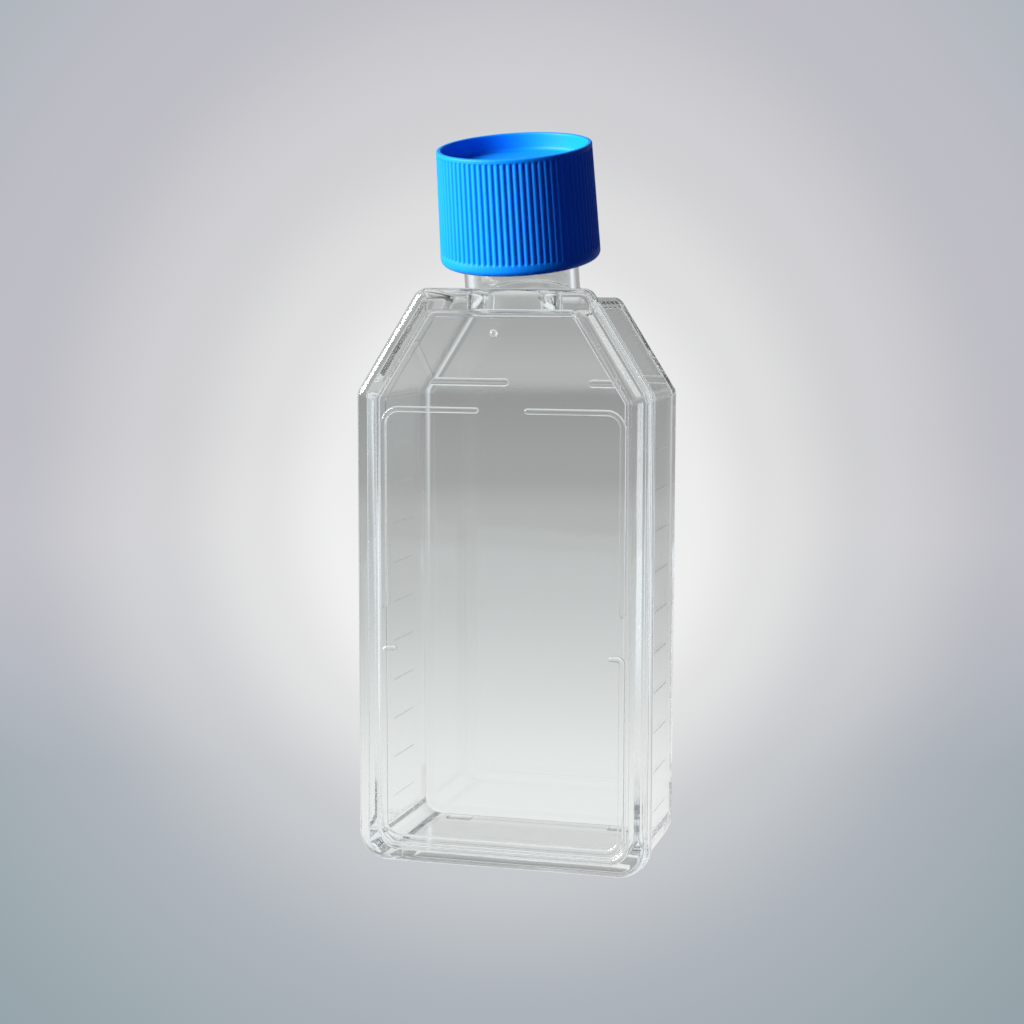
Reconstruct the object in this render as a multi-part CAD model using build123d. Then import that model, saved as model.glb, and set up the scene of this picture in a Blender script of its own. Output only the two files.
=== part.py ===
from build123d import *
import math
import os

# Cell culture flask with a canted neck and a plug-seal screw cap, standing on its end.
# Millimetres, +Z up. X runs across the flask, -Y is the cover side, +Y the growth wall side.
# The pieces are drawn with the stacking rim's front at Y = 0, and moved at the end so that
# the origin lies under the middle of the whole flask's box.

# ---- Outline of the flange: a rectangle with two slanted shoulders ---------------------------
flange_width = 44.0
flask_height = 84.6          # standing plane to the top of the flange
shoulder_height = 69.6       # where the straight sides turn into the shoulders
top_width = 25.2             # flange width at the neck end
corner_radius = 4.5          # the two corners at the standing end
shoulder_radius = 2.4        # the corners between side and shoulder
top_radius = 1.8             # the corners between shoulder and neck end

# ---- Tray ------------------------------------------------------------------------------------
flask_depth = 25.7           # stacking rim to the outside of the growth wall
wall = 1.7                   # side, shoulder and end walls
growth_wall = 1.5
flange_reach = 1.3           # how far the flange stands out from the side walls
flange_thickness = 1.2
flange_edge_radius = 0.15
draft_angle = 0.6            # degrees, the walls lean in towards the growth wall
back_edge_radius = 1.2
inside_radius = 1.2
cavity_corner_radius = 3.0   # inside, the two corners at the standing end
foot_length = 4.0            # two feet make up for the end wall's draft
foot_width = 2.2
foot_spacing = 26.0
foot_setback = 1.8           # from the growth wall's outside to the foot

# ---- Cover plate -----------------------------------------------------------------------------
cover_wall = 1.2
rim_height = 0.8             # stacking rim above the window
rim_width = 3.25
rim_edge_radius = 0.5
end_rim_width = 2.7          # the rim along the standing end
ledge = 0.15                 # flange left bare outside the cover plate
end_ledge = 0.15             # the same at the standing end
window_corner_radius = 2.7
seat_depth = 0.6             # ring that locates the cover plate inside the tray
seat_width = 1.0
seat_clearance = 0.15

# ---- Ridge lines, dam, graduation marks and gate mark ------------------------------------------
ridge_width = 1.0
ridge_height = 0.3
ridge_inset = 0.2            # window edge to the ridge's outer side, at both sides
ridge_top_inset = 1.0        # the same under the shoulders
ridge_end_inset = 0.5        # and at the standing end
ridge_corner_radius = 2.8
ridge_gap = 6.8              # opening in the ridge's top line
ridge_break = 32.0           # the ridge's side lines are broken from this height up
ridge_break_length = 6.0
ridge_tick = 1.5             # turned-in end of a ridge line
dam_height = 0.5             # low ridge that keeps the medium off the neck
dam_width = 1.3
dam_rise = 0.45              # over the shoulder's start
dam_gap = 12.6               # open for pouring
dam_shift = 0.9              # how far the opening is off the middle
grade_volume = 5000.0        # cubic millimetres from one graduation mark to the next
grade_count = 10
grade_length = 9.0
grade_width = 0.4
grade_height = 0.15
gate_radius = 0.6
gate_height = 0.3
gate_drop = 6.4              # under the flange's top
gate_offset = -1.2

# ---- Neck ------------------------------------------------------------------------------------
neck_cant = 13.5             # degrees, towards the cover side
neck_setback = 12.15         # stacking rim's front to the neck's axis, at the neck end wall
neck_length = 18.4           # along its axis, from the end wall to the lip
neck_radius = 8.4
neck_wall = 1.2
lip_radius = 0.4
thread_pitch = 3.0
thread_turns = 1.5
thread_height = 0.9
thread_root_width = 1.4
thread_crest_width = 0.6
thread_from_lip = 2.2        # lip to the middle of the thread's upper end

# ---- Cap -------------------------------------------------------------------------------------
cap_height = 16.65
cap_wall = 1.46               # skirt, from its inside to the bottom of the grooves
cap_draft = 1.65             # degrees, outside of the skirt
cap_top_wall = 1.2
cap_foot_radius = 0.9
cap_rim_radius = 0.25
recess_depth = 2.6
recess_rim = 0.75
recess_corner_radius = 0.6
groove_count = 80
groove_radius = 0.26
groove_bottom = 1.6          # plain band under the grooves
groove_top = 0.6             # plain band over the grooves
cap_thread_height = 0.55
thread_clearance = 0.15      # crest to crest, so that the cap also pulls straight off
plug_depth = 3.0
plug_wall = 0.9
plug_clearance = 0.08
plug_lead = 0.4
lip_clearance = 0.05

# ---- Worked out from the sizes above -----------------------------------------------------------
cover_back = rim_height + cover_wall
flange_back = cover_back + flange_thickness
cavity_back = flask_depth - growth_wall
lean = math.tan(math.radians(draft_angle))
window_inset = ledge + rim_width
window_bottom = end_ledge + end_rim_width
bore_radius = neck_radius - neck_wall
crest_radius = neck_radius + thread_height
cap_bore_radius = crest_radius + thread_clearance + cap_thread_height
cap_bottom_radius = cap_bore_radius + cap_wall + groove_radius
cap_top_radius = cap_bottom_radius - cap_height * math.tan(math.radians(cap_draft))
cap_inside = cap_height - recess_depth - cap_top_wall
cap_place = neck_length + lip_clearance - cap_inside
sink = 0.4                   # how far an added feature reaches into the wall that carries it
least_radius = 0.3
corner_ease = 1.5            # an upright corner's least radius, in radii of the edge that crosses it


def shoulder_line(inset):
    """Half width, shoulder height, top half width and top height of the outline set in."""
    half, top_half = flange_width / 2, top_width / 2
    run, rise = half - top_half, flask_height - shoulder_height
    length = math.hypot(run, rise)
    out_x, out_z = rise / length, run / length
    reach = out_x * half + out_z * shoulder_height - inset
    half, top = half - inset, flask_height - inset
    return half, (reach - out_x * half) / out_z, (reach - out_z * top) / out_x, top


def half_width_at(level, inset):
    """Half the width of the outline set in, at a height."""
    half, shoulder, top_half, top = shoulder_line(inset)
    share = max(0.0, (level - shoulder) / (top - shoulder))
    return half + share * (top_half - half)


def outline(inset, bottom, corner=None, least=least_radius):
    """Face of the flask's outline, set in on all sides but the standing end."""
    half, shoulder, top_half, top = shoulder_line(inset)
    face = Polygon(
        (-half, bottom), (half, bottom), (half, shoulder),
        (top_half, top), (-top_half, top), (-half, shoulder), align=None,
    )
    for level, radius in (
        (bottom, corner or corner_radius - inset),
        (shoulder, shoulder_radius - inset),
        (top, top_radius - inset),
    ):
        corners = [v for v in face.vertices() if abs(v.Y - level) < 1e-6]
        face = fillet(corners, max(radius, least))
    return face


def slab(face, front, back, taper=0.0):
    """Solid of a face between two depths, narrowing towards the back by the taper."""
    return extrude(Plane.XZ.offset(-front) * face, amount=front - back, taper=taper)


def edges_at(solid, depth):
    """Edges that lie wholly at one depth."""
    return [e for e in solid.edges() if abs(e.bounding_box().min.Y - depth) < 1e-3
            and abs(e.bounding_box().max.Y - depth) < 1e-3]


# ---- Tray --------------------------------------------------------------------------------------
def neck_plane():
    """Plane at the neck's root, with its normal along the neck, leaning to the cover side."""
    cant = math.radians(neck_cant)
    return Plane(origin=(0, neck_setback, flask_height - flange_reach), x_dir=(1, 0, 0),
                 z_dir=(0, -math.sin(cant), math.cos(cant)))


def rod(radius, low, high):
    """Upright cylinder on the Z axis between two heights."""
    return Pos(0, 0, low) * Cylinder(radius, high - low, align=(Align.CENTER, Align.CENTER, Align.MIN))


def make_neck(under):
    """Neck from under its root to the lip, with its thread, and the bore that opens it."""
    tube = rod(neck_radius, -under, neck_length)
    tube = fillet(tube.edges().sort_by(Axis.Z)[-1], lip_radius)
    tube = tube + thread_ridge(neck_radius, thread_height, neck_length - thread_from_lip)
    bore = rod(bore_radius, -2 * under, neck_length + wall)
    mouth = Pos(0, 0, neck_length - lip_radius) * Cone(
        bore_radius, bore_radius + lip_radius, lip_radius, align=(Align.CENTER, Align.CENTER, Align.MIN))
    return neck_plane() * tube, neck_plane() * (bore + mouth)


def thread_ridge(radius, height, top):
    """Helical ridge that stands on a wall: outwards if its height is positive, else inwards."""
    buried = radius - math.copysign(sink / 2, height)
    root, crest = thread_root_width / 2, thread_crest_width / 2
    profile = Polygon((buried, -root), (radius + height, -crest),
                      (radius + height, crest), (buried, root), align=None)
    rise = thread_pitch * thread_turns
    path = Helix(thread_pitch, rise, radius)
    return Pos(0, 0, top - rise) * sweep(Plane.XZ * profile, path=path, is_frenet=True)


def grade_marks():
    """Raised marks on both side walls, one for each step of volume."""
    middle = (flange_back + flask_depth) / 2
    half = flange_width / 2 - flange_reach
    inner_area = 2 * (half - wall - (middle - flange_back) * lean) * (cavity_back - cover_back)
    surface = half - (middle - flange_back) * lean
    tilt = math.radians(draft_angle)
    marks = []
    for side in (-1, 1):
        for step in range(1, grade_count + 1):
            level = wall + step * grade_volume / inner_area
            plane = Plane(origin=(side * surface, middle, level),
                          x_dir=(-side * math.sin(tilt), math.cos(tilt), 0),
                          z_dir=(side * math.cos(tilt), math.sin(tilt), 0))
            face = SlotOverall(grade_length, grade_width)
            marks.append(plane * Pos(0, 0, -sink) * extrude(face, amount=sink + grade_height))
    return marks


def dam():
    """Low ridge across the growth wall's inside, open in the middle."""
    bars = []
    dam_level = shoulder_height + dam_rise
    reach = half_width_at(dam_level, flange_reach + (cavity_back - cover_back) * lean) - wall / 2
    for side in (-1, 1):
        start = dam_gap / 2 + side * dam_shift
        face = Pos(side * (reach + start) / 2, dam_level) * SlotOverall(reach - start, dam_width)
        bars.append(slab(face, cavity_back - dam_height, cavity_back + sink))
    return bars


def feet():
    """Two feet at the back of the end wall, level with the flange."""
    middle = flask_depth - foot_setback - foot_width / 2
    return [Pos(side * foot_spacing / 2, middle, wall / 4) * Box(foot_length, foot_width, wall / 2)
            for side in (-1, 1)]


def make_tray():
    """Tray with its flange, neck and thread, moulded as one."""
    shell = slab(outline(flange_reach, 0.0, least=corner_ease * back_edge_radius),
                 flange_back, flask_depth, draft_angle)
    shell = fillet(edges_at(shell, flask_depth), back_edge_radius)
    flange = slab(outline(0.0, 0.0), cover_back, flange_back)
    flange = fillet(edges_at(flange, cover_back), flange_edge_radius)
    cavity = slab(outline(flange_reach + wall, wall, cavity_corner_radius, corner_ease * inside_radius),
                  cover_back, cavity_back, draft_angle)
    cavity = fillet(edges_at(cavity, cavity_back), inside_radius)
    neck, bore = make_neck(neck_radius * math.sin(math.radians(neck_cant)) + 2 * wall)
    tray = shell + flange + neck - cavity - bore
    for feature in grade_marks() + dam() + feet():
        tray = tray + feature
    return tray


# ---- Cover plate -------------------------------------------------------------------------------
def ridge_lines():
    """Thin raised lines round the window, broken at the top and at both sides."""
    half = flange_width / 2 - window_inset - ridge_inset - ridge_width / 2
    low = window_bottom + ridge_end_inset + ridge_width / 2
    high = shoulder_line(window_inset)[1] - ridge_top_inset - ridge_width / 2
    frame = Pos(0, (low + high) / 2) * (
        RectangleRounded(2 * half + ridge_width, high - low + ridge_width, ridge_corner_radius)
        - RectangleRounded(2 * half - ridge_width, high - low - ridge_width,
                           ridge_corner_radius - ridge_width))
    frame = frame - Pos(0, high) * Rectangle(ridge_gap, 4 * ridge_width)
    frame = frame - Pos(0, ridge_break + ridge_break_length / 2) * Rectangle(
        flange_width, ridge_break_length)
    for side in (-1, 1):
        frame = frame + Pos(side * (half - ridge_tick / 2), ridge_break) * SlotOverall(
            ridge_tick + ridge_width, ridge_width)
    return slab(frame, rim_height - ridge_height, rim_height + sink)


def make_cover():
    """Plate welded on the flange, with its stacking rim, window and locating ring."""
    plate = slab(outline(ledge, end_ledge), 0.0, cover_back)
    plate = fillet(edges_at(plate, 0.0), rim_edge_radius)
    window = slab(outline(window_inset, window_bottom, window_corner_radius), 0.0, rim_height)
    plate = plate - window
    inside = flange_reach + wall + seat_clearance
    seat_end = wall + seat_clearance
    seat_corner, seat_least = cavity_corner_radius - seat_clearance, corner_ease * inside_radius - seat_clearance
    seat = slab(
        outline(inside, seat_end, seat_corner, seat_least)
        - outline(inside + seat_width, seat_end + seat_width, seat_corner - seat_width, seat_least - seat_width),
        cover_back - sink, cover_back + seat_depth)
    gate = slab(Pos(gate_offset, flask_height - gate_drop) * Circle(gate_radius),
                rim_height - gate_height, rim_height + sink)
    return plate + seat + ridge_lines() + gate


# ---- Cap ---------------------------------------------------------------------------------------
def grooves():
    """Half-round grooves down the outside of the skirt."""
    lean_in = math.radians(cap_draft)
    run = (cap_height - groove_top - groove_bottom) / math.cos(lean_in)
    start = Plane(origin=(cap_bottom_radius - groove_bottom * math.tan(lean_in), 0, groove_bottom),
                  x_dir=(0, 1, 0), z_dir=(-math.sin(lean_in), 0, math.cos(lean_in)))
    groove = start * rod(groove_radius, 0.0, run)
    return [Rot(0, 0, 360.0 * i / groove_count) * groove for i in range(groove_count)]


def make_cap():
    """Cap on its own axis, with its open end at the origin."""
    skirt = Cone(cap_bottom_radius, cap_top_radius, cap_height,
                 align=(Align.CENTER, Align.CENTER, Align.MIN))
    skirt = fillet(skirt.edges().sort_by(Axis.Z)[0], cap_foot_radius)
    recess = rod(cap_top_radius - recess_rim, cap_height - recess_depth, cap_height + sink)
    recess = fillet(recess.edges().sort_by(Axis.Z)[0], recess_corner_radius)
    skirt = skirt - recess
    rim_edges = [e for e in skirt.edges() if abs(e.bounding_box().min.Z - cap_height) < 1e-3]
    skirt = fillet(rim_edges, cap_rim_radius) - rod(cap_bore_radius, -sink, cap_inside)
    plug_radius, plug_end = bore_radius - plug_clearance, cap_inside - plug_depth
    plug = rod(plug_radius, plug_end, cap_inside + sink)
    plug = chamfer(plug.edges().sort_by(Axis.Z)[0], plug_lead)
    plug = plug - rod(plug_radius - plug_wall, plug_end - sink, cap_inside)
    ridge = thread_ridge(cap_bore_radius, -cap_thread_height,
                         cap_inside - thread_from_lip - thread_pitch / 2)
    return skirt + plug + ridge - grooves()


# ---- Build, place and write ---------------------------------------------------------------------
pieces = {
    "flask_body": make_tray(),
    "cover_plate": make_cover(),
    "cap": neck_plane() * Pos(0, 0, cap_place) * make_cap(),
}
boxes = [piece.bounding_box() for piece in pieces.values()]
middle_depth = (min(b.min.Y for b in boxes) + max(b.max.Y for b in boxes)) / 2
os.makedirs("parts", exist_ok=True)
for name, piece in pieces.items():
    export_step(Pos(0, -middle_depth, 0) * piece, f"parts/{name}.step")
print("depth of the origin behind the stacking rim", round(middle_depth, 4))
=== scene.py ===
"""Studio scene of a canted-neck cell culture flask, dressed around its construction model.

Metres, +Z up, in the frame of the construction model. The camera looks at the cover side.
"""

import logging
import math
from dataclasses import dataclass, field
from enum import Enum

import bmesh
import bpy
from mathutils import Matrix, Vector


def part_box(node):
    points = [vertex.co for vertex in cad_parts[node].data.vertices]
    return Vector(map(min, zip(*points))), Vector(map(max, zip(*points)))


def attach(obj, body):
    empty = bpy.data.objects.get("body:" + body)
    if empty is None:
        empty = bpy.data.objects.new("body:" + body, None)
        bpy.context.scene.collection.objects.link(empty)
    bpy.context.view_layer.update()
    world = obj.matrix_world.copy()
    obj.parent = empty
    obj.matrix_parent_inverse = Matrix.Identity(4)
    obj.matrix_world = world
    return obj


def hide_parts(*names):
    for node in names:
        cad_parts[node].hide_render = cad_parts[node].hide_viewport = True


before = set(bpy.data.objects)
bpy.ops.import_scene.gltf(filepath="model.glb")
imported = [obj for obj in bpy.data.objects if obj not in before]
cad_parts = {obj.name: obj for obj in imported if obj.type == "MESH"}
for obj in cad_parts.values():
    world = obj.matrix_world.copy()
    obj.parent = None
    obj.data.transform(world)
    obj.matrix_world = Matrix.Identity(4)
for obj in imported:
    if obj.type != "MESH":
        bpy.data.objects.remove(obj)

LOG = logging.getLogger("flask")
MM = 0.001
BOUNCES = 32

Colour = tuple[float, float, float]
Socket = bpy.types.NodeSocket


class Ray(Enum):
    """Kinds of ray that a stage surface can answer, as Light Path names them."""

    CAMERA = "Is Camera Ray"
    DIFFUSE = "Is Diffuse Ray"
    GLOSSY = "Is Glossy Ray"
    TRANSMITTED = "Is Transmission Ray"
    SHADOW = "Is Shadow Ray"


# ---- Node trees ----------------------------------------------------------------------------
class NodeSheet:
    """Adds and joins the nodes of one material or node group."""

    def __init__(self, tree: bpy.types.NodeTree) -> None:
        """Starts on an empty tree."""
        self.tree = tree
        tree.nodes.clear()

    def add(self, kind: str, **settings: object) -> bpy.types.Node:
        """Adds one node.

        Args:
            kind: The node's type without its ShaderNode prefix.
            settings: Properties of the node to set.

        Returns:
            The new node.
        """
        prefix = "" if kind.startswith("NodeGroup") else "ShaderNode"
        node = self.tree.nodes.new(prefix + kind)
        for name, value in settings.items():
            setattr(node, name, value)
        return node

    def feed(self, target: Socket, value: object) -> None:
        """Gives a socket a value, or joins another socket to it."""
        if isinstance(value, bpy.types.NodeSocket):
            self.tree.links.new(value, target)
        else:
            target.default_value = value

    def maths(self, operation: str, *values: object, clamp: bool = False) -> Socket:
        """Adds a Math node.

        Args:
            operation: Its operation.
            values: Numbers or sockets for its inputs, in order.
            clamp: Whether the result is kept from 0 to 1.

        Returns:
            Its output.
        """
        node = self.add("Math", operation=operation, use_clamp=clamp)
        for target, value in zip(node.inputs, values):
            self.feed(target, value)
        return node.outputs[0]

    def blend(self, share: object, first: object, second: object) -> Socket:
        """Mixes two colours.

        Args:
            share: How much of the second colour, a number or a socket.
            first: Colour or socket at a share of 0.
            second: Colour or socket at a share of 1.

        Returns:
            The mixed colour's socket.
        """
        node = self.add("Mix", data_type="RGBA")
        self.feed(node.inputs["Factor"], share)
        colours = [s for s in node.inputs if s.type == "RGBA"]
        for target, value in zip(colours, (first, second)):
            self.feed(target, (*value, 1.0) if isinstance(value, tuple) else value)
        return next(s for s in node.outputs if s.type == "RGBA")

    def ramp(self, source: Socket, stops: list[tuple[float, Colour]], smooth: bool = True) -> Socket:
        """Turns a value into a colour.

        Args:
            source: The value's socket.
            stops: Places from 0 to 1 with their colours.
            smooth: Whether the colours ease into each other.

        Returns:
            The colour's socket.
        """
        node = self.add("ValToRGB")
        node.color_ramp.interpolation = "EASE" if smooth else "LINEAR"
        elements = node.color_ramp.elements
        while len(elements) < len(stops):
            elements.new(0.5)
        for element, (place, colour) in zip(elements, stops):
            element.position = place
            element.color = (*colour, 1.0)
        self.feed(node.inputs[0], source)
        return node.outputs[0]

    def group(self, tree: bpy.types.NodeTree, **values: object) -> bpy.types.Node:
        """Places a node group and sets its inputs, whose names have spaces for underscores."""
        node = self.add("Group", node_tree=tree)
        for name, value in values.items():
            self.feed(node.inputs[name.replace("_", " ")], value)
        return node


def grey(level: float) -> Colour:
    """Neutral colour of one linear level."""
    return (level, level, level)


def new_group(name: str, inputs: dict[str, float], outputs: tuple[str, ...]) -> NodeSheet:
    """Starts a shader node group with number sockets.

    Args:
        name: The group's name.
        inputs: Names of its inputs with their starting values.
        outputs: Names of its outputs.

    Returns:
        A sheet on the group's empty tree.
    """
    tree = bpy.data.node_groups.new(name, "ShaderNodeTree")
    for label, value in inputs.items():
        socket = tree.interface.new_socket(label, in_out="INPUT", socket_type="NodeSocketFloat")
        socket.default_value = value
    for label in outputs:
        tree.interface.new_socket(label, in_out="OUTPUT", socket_type="NodeSocketFloat")
    return NodeSheet(tree)


def moulded_surface() -> bpy.types.NodeTree:
    """Builds the surface that moulding leaves, which every plastic here shares.

    Returns:
        A group with the outputs Height, for a bump, and Haze, a mask of duller patches.
    """
    sheet = new_group(
        "moulded_surface",
        {"Wave Size": 0.02, "Wave Share": 0.5, "Grain Size": 0.0004, "Haze Size": 0.01},
        ("Height", "Haze"),
    )
    start, end = sheet.add("NodeGroupInput"), sheet.add("NodeGroupOutput")
    place = sheet.add("TexCoord").outputs["Object"]

    def noise(size: Socket, detail: float) -> Socket:
        """Noise whose patches have the size that a socket gives."""
        node = sheet.add("TexNoise")
        sheet.feed(node.inputs["Vector"], place)
        sheet.feed(node.inputs["Scale"], sheet.maths("DIVIDE", 1.0, size))
        sheet.feed(node.inputs["Detail"], detail)
        return node.outputs["Fac"]

    waves = noise(start.outputs["Wave Size"], 1.0)
    grain = noise(start.outputs["Grain Size"], 2.0)
    share = start.outputs["Wave Share"]
    waves = sheet.maths("MULTIPLY", waves, share)
    grain = sheet.maths("MULTIPLY", grain, sheet.maths("SUBTRACT", 1.0, share))
    haze = sheet.maths("SMOOTH_MIN", noise(start.outputs["Haze Size"], 4.0), 1.0, 0.1)
    sheet.feed(end.inputs["Height"], sheet.maths("ADD", waves, grain))
    sheet.feed(end.inputs["Haze"], haze)
    return sheet.tree


# ---- Mesh work -----------------------------------------------------------------------------
Ring = list[bmesh.types.BMEdge]


def ease(work: bmesh.types.BMesh, corners: list[bmesh.types.BMVert], radius: float, rounds: int) -> None:
    """Rounds corners of a flat outline.

    Args:
        work: The mesh.
        corners: Vertices of the outline, which has a face.
        radius: Radius of the arcs.
        rounds: Segments in each arc.
    """
    for corner in corners:
        first, second = (edge.other_vert(corner).co - corner.co for edge in corner.link_edges)
        turn = math.pi - first.angle(second)
        bmesh.ops.bevel(work, geom=[corner], offset=radius * math.tan(turn / 2), offset_type="OFFSET",
                        segments=rounds, profile=0.5, affect="VERTICES", material=-1)


def loosen(work: bmesh.types.BMesh, face: bmesh.types.BMFace) -> Ring:
    """Takes a face away and returns the edges that it leaves."""
    edges = list(face.edges)
    bmesh.ops.delete(work, geom=[face], context="FACES_ONLY")
    return edges


def bridge(work: bmesh.types.BMesh, first: Ring, second: Ring) -> None:
    """Joins two rings by a wall, also where they lie at one depth, by moving one away meanwhile."""
    apart = Vector((0.0, 40.0, 0.0))
    verts = list({vert for edge in second for vert in edge.verts})
    bmesh.ops.translate(work, verts=verts, vec=apart)
    bmesh.ops.bridge_loops(work, edges=first + second)
    bmesh.ops.translate(work, verts=verts, vec=-apart)


def round_edges(work: bmesh.types.BMesh, edges: Ring, radius: float, rounds: int = 4) -> None:
    """Gives edges a round of one radius."""
    bmesh.ops.recalc_face_normals(work, faces=work.faces)
    bmesh.ops.bevel(work, geom=edges, offset=radius, offset_type="OFFSET", segments=rounds,
                    profile=0.5, affect="EDGES", material=-1, clamp_overlap=True)


def grow(work: bmesh.types.BMesh, ring: Ring) -> tuple[Ring, list[bmesh.types.BMVert]]:
    """Extrudes a ring and returns the new ring's edges and vertices."""
    made = bmesh.ops.extrude_edge_only(work, edges=ring)["geom"]
    verts = [item for item in made if isinstance(item, bmesh.types.BMVert)]
    return [item for item in made if isinstance(item, bmesh.types.BMEdge)], verts


def section(work: bmesh.types.BMesh, corners: list[tuple[float, float, float]], rounds: int = 4) -> Ring:
    """Lays out half a section for a lathe.

    Args:
        work: An empty mesh.
        corners: Radius, height and rounding of each corner, from axis to axis.
        rounds: Segments in each rounding.

    Returns:
        The section's edges, without the one on the axis.
    """
    verts = [work.verts.new((radius, 0.0, height)) for radius, height, _ in corners]
    work.faces.new(verts)
    for vert, (_, _, rounding) in zip(verts, corners):
        if rounding:
            ease(work, [vert], rounding, rounds)
    work.faces.ensure_lookup_table()
    edges = loosen(work, work.faces[0])
    axis = [edge for edge in edges if all(abs(vert.co.x) < 1e-6 for vert in edge.verts)]
    bmesh.ops.delete(work, geom=axis, context="EDGES_FACES")
    return list(work.edges)


def lathe(corners: list[tuple[float, float, float]], steps: int = 96) -> bmesh.types.BMesh:
    """Turns half a section about the Z axis.

    Args:
        corners: Radius, height and rounding of each corner, from axis to axis.
        steps: Segments of the full turn.

    Returns:
        A closed mesh.
    """
    work = bmesh.new()
    edges = section(work, corners)
    bmesh.ops.spin(work, geom=edges + list(work.verts), axis=(0, 0, 1), cent=(0, 0, 0),
                   angle=2 * math.pi, steps=steps, use_merge=True)
    bmesh.ops.remove_doubles(work, verts=work.verts, dist=1e-4)
    return work


def screw_ridge(radius: float, height: float, thread: "Thread", top: float) -> bmesh.types.BMesh:
    """Winds a helical ridge that dies away at both ends.

    Args:
        radius: Radius of the wall that carries it.
        height: How far it stands out, or in if it is negative.
        thread: The thread's form.
        top: Height of the middle of its upper end.

    Returns:
        A closed mesh.
    """
    work = bmesh.new()
    sunk = radius - math.copysign(thread.sunk, height)
    root, crest, rise = thread.root / 2, thread.crest / 2, thread.pitch * thread.turns
    verts = [work.verts.new((across, 0.0, up + top - rise)) for across, up in (
        (sunk, -root), (radius + height, -crest), (radius + height, crest), (sunk, root))]
    work.faces.new(verts)
    ease(work, verts[1:3], thread.crest_share * abs(height), 3)
    work.faces.ensure_lookup_table()
    start = work.faces[0]
    steps = round(thread.turns * thread.steps)
    bmesh.ops.spin(work, geom=list(start.verts) + list(start.edges) + [start], axis=(0, 0, 1),
                   cent=(0, 0, 0), angle=2 * math.pi * thread.turns, steps=steps, dvec=(0, 0, rise / steps))
    for vert in work.verts:
        share = (vert.co.z - (top - rise)) / rise
        nearness = min(share, 1.0 - share) * thread.turns * 2 * math.pi * radius
        fade = max(0.05, min(1.0, nearness / thread.fade))
        out = math.hypot(vert.co.x, vert.co.y)
        wanted = sunk + (out - sunk) * math.sin(fade * math.pi / 2)
        vert.co.x, vert.co.y = vert.co.x * wanted / out, vert.co.y * wanted / out
    return work


def as_object(work: bmesh.types.BMesh, name: str) -> bpy.types.Object:
    """Puts a finished mesh in an object of the scene and returns it."""
    bmesh.ops.recalc_face_normals(work, faces=work.faces)
    mesh = bpy.data.meshes.new(name)
    work.to_mesh(mesh)
    work.free()
    made = bpy.data.objects.new(name, mesh)
    bpy.context.scene.collection.objects.link(made)
    return made


class Fusing(Enum):
    """How one solid changes another."""

    ADD = "UNION"
    CUT = "DIFFERENCE"


def fuse(base: bpy.types.Object, steps: list[tuple[Fusing, bpy.types.Object]]) -> None:
    """Adds solids to a base and cuts others from it.

    Args:
        base: The object that is changed.
        steps: What to do with which object, in order; the objects are used up.
    """
    for step, tool in steps:
        change = base.modifiers.new(step.name.lower(), "BOOLEAN")
        change.operation, change.solver, change.object = step.value, "EXACT", tool
    graph = bpy.context.evaluated_depsgraph_get()
    result = bpy.data.meshes.new_from_object(base.evaluated_get(graph))
    base.modifiers.clear()
    spent, base.data = base.data, result
    bpy.data.meshes.remove(spent)
    result.name = base.name
    for _, tool in steps:
        mesh = tool.data
        bpy.data.objects.remove(tool)
        bpy.data.meshes.remove(mesh)


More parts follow.
